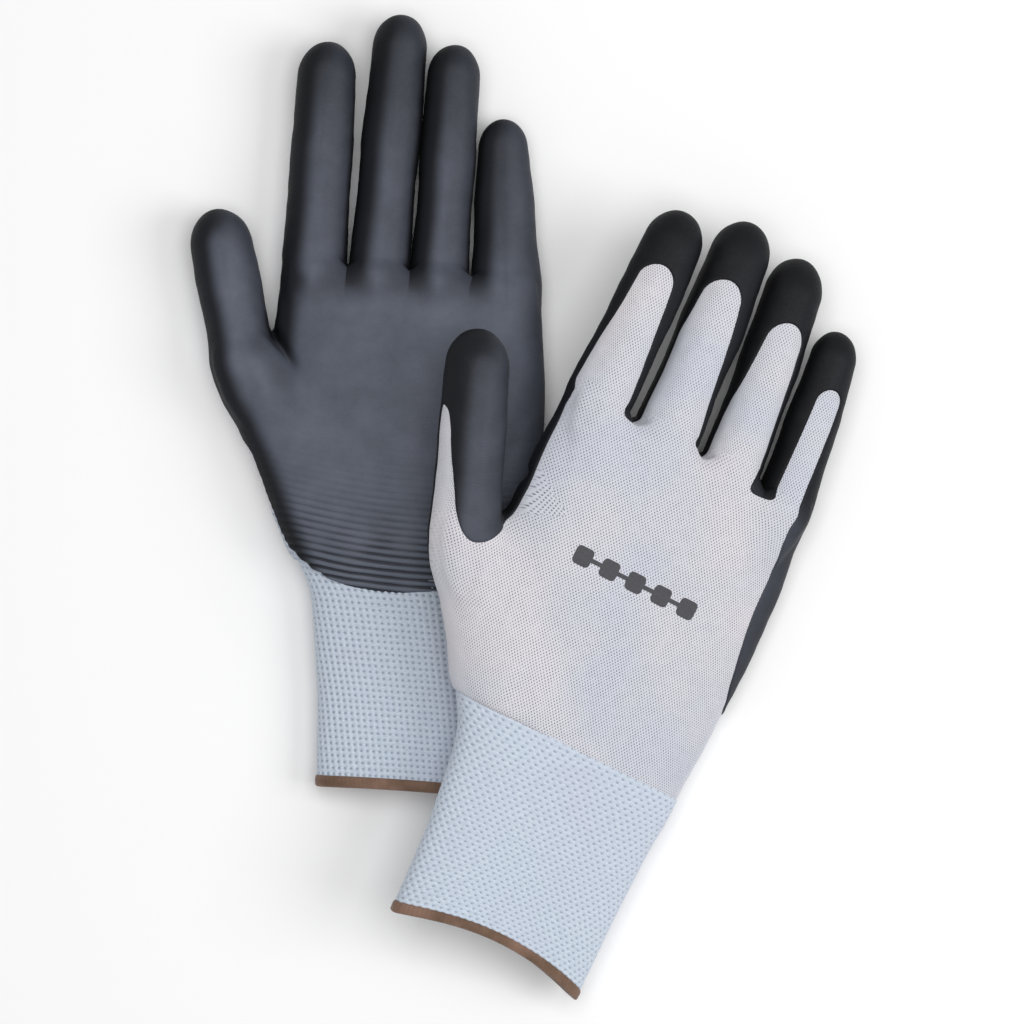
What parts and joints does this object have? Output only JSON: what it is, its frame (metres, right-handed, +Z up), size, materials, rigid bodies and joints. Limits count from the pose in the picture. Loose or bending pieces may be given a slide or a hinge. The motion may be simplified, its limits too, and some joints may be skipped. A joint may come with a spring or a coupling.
{
  "type": "work gloves",
  "caption": "Pair of knitted work gloves with dipped palms and fingers, waffle-knit elastic cuffs and bound hems, lying overlapped on a flat surface",
  "frame": {"origin": "on the table, under the middle of the pair's bounding box", "axes": "+Z is up from the table. +Y runs from the cuffs towards the fingertips, along the longest side of the pair. +X runs from the left glove to the right glove."},
  "size_m": [0.2094, 0.309, 0.0535],
  "materials": {
    "liner_knit": "matte",
    "cuff_knit": "matte",
    "palm_dip": "satin",
    "hem_binding": "matte",
    "elastic_yarn": "matte",
    "back_print": "matte"
  },
  "bodies": {
    "left_hand": {"left_hand_liner": "liner_knit", "left_palm_coating": "palm_dip", "left_cuff_knit": "cuff_knit", "left_cuff_hem": "hem_binding", "left_cuff_elastic": "elastic_yarn"},
    "right_hand": {"right_hand_liner": "liner_knit", "right_palm_coating": "palm_dip", "right_cuff_knit": "cuff_knit", "right_cuff_hem": "hem_binding", "right_cuff_elastic": "elastic_yarn", "right_back_print": "back_print"},
    "left_index_base": {"left_index_base_liner": "liner_knit", "left_index_base_coating": "palm_dip"},
    "left_index_tip": {"left_index_tip_liner": "liner_knit", "left_index_tip_coating": "palm_dip"},
    "left_middle_base": {"left_middle_base_liner": "liner_knit", "left_middle_base_coating": "palm_dip"},
    "left_middle_tip": {"left_middle_tip_liner": "liner_knit", "left_middle_tip_coating": "palm_dip"},
    "left_ring_base": {"left_ring_base_liner": "liner_knit", "left_ring_base_coating": "palm_dip"},
    "left_ring_tip": {"left_ring_tip_liner": "liner_knit", "left_ring_tip_coating": "palm_dip"},
    "left_little_base": {"left_little_base_liner": "liner_knit", "left_little_base_coating": "palm_dip"},
    "left_little_tip": {"left_little_tip_liner": "liner_knit", "left_little_tip_coating": "palm_dip"},
    "left_thumb_base": {"left_thumb_base_liner": "liner_knit", "left_thumb_base_coating": "palm_dip"},
    "left_thumb_tip": {"left_thumb_tip_liner": "liner_knit", "left_thumb_tip_coating": "palm_dip"},
    "right_index_base": {"right_index_base_liner": "liner_knit", "right_index_base_coating": "palm_dip"},
    "right_index_tip": {"right_index_tip_liner": "liner_knit", "right_index_tip_coating": "palm_dip"},
    "right_middle_base": {"right_middle_base_liner": "liner_knit", "right_middle_base_coating": "palm_dip"},
    "right_middle_tip": {"right_middle_tip_liner": "liner_knit", "right_middle_tip_coating": "palm_dip"},
    "right_ring_base": {"right_ring_base_liner": "liner_knit", "right_ring_base_coating": "palm_dip"},
    "right_ring_tip": {"right_ring_tip_liner": "liner_knit", "right_ring_tip_coating": "palm_dip"},
    "right_little_base": {"right_little_base_liner": "liner_knit", "right_little_base_coating": "palm_dip"},
    "right_little_tip": {"right_little_tip_liner": "liner_knit", "right_little_tip_coating": "palm_dip"},
    "right_thumb_base": {"right_thumb_base_liner": "liner_knit", "right_thumb_base_coating": "palm_dip"},
    "right_thumb_tip": {"right_thumb_tip_liner": "liner_knit", "right_thumb_tip_coating": "palm_dip"}
  },
  "joints": [
    {"name": "pair_lift", "type": "slide", "parent": "left_hand", "child": "right_hand", "axis": [0, 0, 1], "range_m": [0, 0.06]},
    {"name": "left_index_base_bend", "type": "hinge", "parent": "left_hand", "child": "left_index_base", "pos_m": [-0.06516, 0.07996, 0.01851], "axis": [0.9982, -0.0605, 0], "range_deg": [0, 70], "stiffness_Nm_per_rad": 0.02},
    {"name": "left_index_tip_bend", "type": "hinge", "parent": "left_index_base", "child": "left_index_tip", "pos_m": [-0.06315, 0.11316, 0.01872], "axis": [0.9982, -0.0605, 0], "range_deg": [0, 75], "stiffness_Nm_per_rad": 0.02},
    {"name": "left_middle_base_bend", "type": "hinge", "parent": "left_hand", "child": "left_middle_base", "pos_m": [-0.04503, 0.07838, 0.01851], "axis": [0.9954, -0.0954, 0], "range_deg": [0, 70], "stiffness_Nm_per_rad": 0.02},
    {"name": "left_middle_tip_bend", "type": "hinge", "parent": "left_middle_base", "child": "left_middle_tip", "pos_m": [-0.04138, 0.11646, 0.01857], "axis": [0.9954, -0.0954, 0], "range_deg": [0, 75], "stiffness_Nm_per_rad": 0.02},
    {"name": "left_ring_base_bend", "type": "hinge", "parent": "left_hand", "child": "left_ring_base", "pos_m": [-0.02598, 0.07688, 0.01802], "axis": [0.9975, -0.0712, 0], "range_deg": [0, 70], "stiffness_Nm_per_rad": 0.02},
    {"name": "left_ring_tip_bend", "type": "hinge", "parent": "left_ring_base", "child": "left_ring_tip", "pos_m": [-0.02355, 0.11104, 0.01806], "axis": [0.9975, -0.0712, 0], "range_deg": [0, 75], "stiffness_Nm_per_rad": 0.02},
    {"name": "left_little_base_bend", "type": "hinge", "parent": "left_hand", "child": "left_little_base", "pos_m": [-0.0071, 0.07339, 0.01704], "axis": [1, -0.0044, 0], "range_deg": [0, 70], "stiffness_Nm_per_rad": 0.02},
    {"name": "left_little_tip_bend", "type": "hinge", "parent": "left_little_base", "child": "left_little_tip", "pos_m": [-0.00699, 0.0977, 0.01615], "axis": [1, -0.0044, 0], "range_deg": [0, 75], "stiffness_Nm_per_rad": 0.02},
    {"name": "left_thumb_base_bend", "type": "hinge", "parent": "left_hand", "child": "left_thumb_base", "pos_m": [-0.08913, 0.05075, 0.0195], "axis": [0.9827, 0.1854, 0], "range_deg": [0, 50], "stiffness_Nm_per_rad": 0.02},
    {"name": "left_thumb_tip_bend", "type": "hinge", "parent": "left_thumb_base", "child": "left_thumb_tip", "pos_m": [-0.09316, 0.07213, 0.01881], "axis": [0.9827, 0.1854, 0], "range_deg": [0, 60], "stiffness_Nm_per_rad": 0.02},
    {"name": "right_index_base_bend", "type": "hinge", "parent": "right_hand", "child": "right_index_base", "pos_m": [0.02753, 0.03492, 0.04264], "axis": [0.8623, -0.3949, -0.3171], "range_deg": [0, 55], "stiffness_Nm_per_rad": 0.02},
    {"name": "right_index_tip_bend", "type": "hinge", "parent": "right_index_base", "child": "right_index_tip", "pos_m": [0.04014, 0.06329, 0.04163], "axis": [0.8623, -0.3949, -0.3171], "range_deg": [0, 55], "stiffness_Nm_per_rad": 0.02},
    {"name": "right_middle_base_bend", "type": "hinge", "parent": "right_hand", "child": "right_middle_base", "pos_m": [0.04849, 0.02424, 0.03477], "axis": [0.8732, -0.3706, -0.3166], "range_deg": [0, 55], "stiffness_Nm_per_rad": 0.02},
    {"name": "right_middle_tip_bend", "type": "hinge", "parent": "right_middle_base", "child": "right_middle_tip", "pos_m": [0.0616, 0.05572, 0.03408], "axis": [0.8732, -0.3706, -0.3166], "range_deg": [0, 55], "stiffness_Nm_per_rad": 0.02},
    {"name": "right_ring_base_bend", "type": "hinge", "parent": "right_hand", "child": "right_ring_base", "pos_m": [0.06876, 0.01392, 0.02717], "axis": [0.8927, -0.3223, -0.3151], "range_deg": [0, 55], "stiffness_Nm_per_rad": 0.02},
    {"name": "right_ring_tip_bend", "type": "hinge", "parent": "right_ring_base", "child": "right_ring_tip", "pos_m": [0.07991, 0.04499, 0.02699], "axis": [0.8927, -0.3223, -0.3151], "range_deg": [0, 55], "stiffness_Nm_per_rad": 0.02},
    {"name": "right_little_base_bend", "type": "hinge", "parent": "right_hand", "child": "right_little_base", "pos_m": [0.08489, 0.00233, 0.02061], "axis": [0.9003, -0.3012, -0.3142], "range_deg": [0, 55], "stiffness_Nm_per_rad": 0.02},
    {"name": "right_little_tip_bend", "type": "hinge", "parent": "right_little_base", "child": "right_little_tip", "pos_m": [0.09356, 0.02793, 0.02089], "axis": [0.9003, -0.3012, -0.3142], "range_deg": [0, 55], "stiffness_Nm_per_rad": 0.02},
    {"name": "right_thumb_base_bend", "type": "hinge", "parent": "right_hand", "child": "right_thumb_base", "pos_m": [-0.01498, -0.00739, 0.04886], "axis": [0.9554, -0.0451, -0.2917], "range_deg": [0, 50], "stiffness_Nm_per_rad": 0.02},
    {"name": "right_thumb_tip_bend", "type": "hinge", "parent": "right_thumb_base", "child": "right_thumb_tip", "pos_m": [-0.01266, 0.02313, 0.05177], "axis": [0.9554, -0.0451, -0.2917], "range_deg": [0, 60], "stiffness_Nm_per_rad": 0.02}
  ]
}
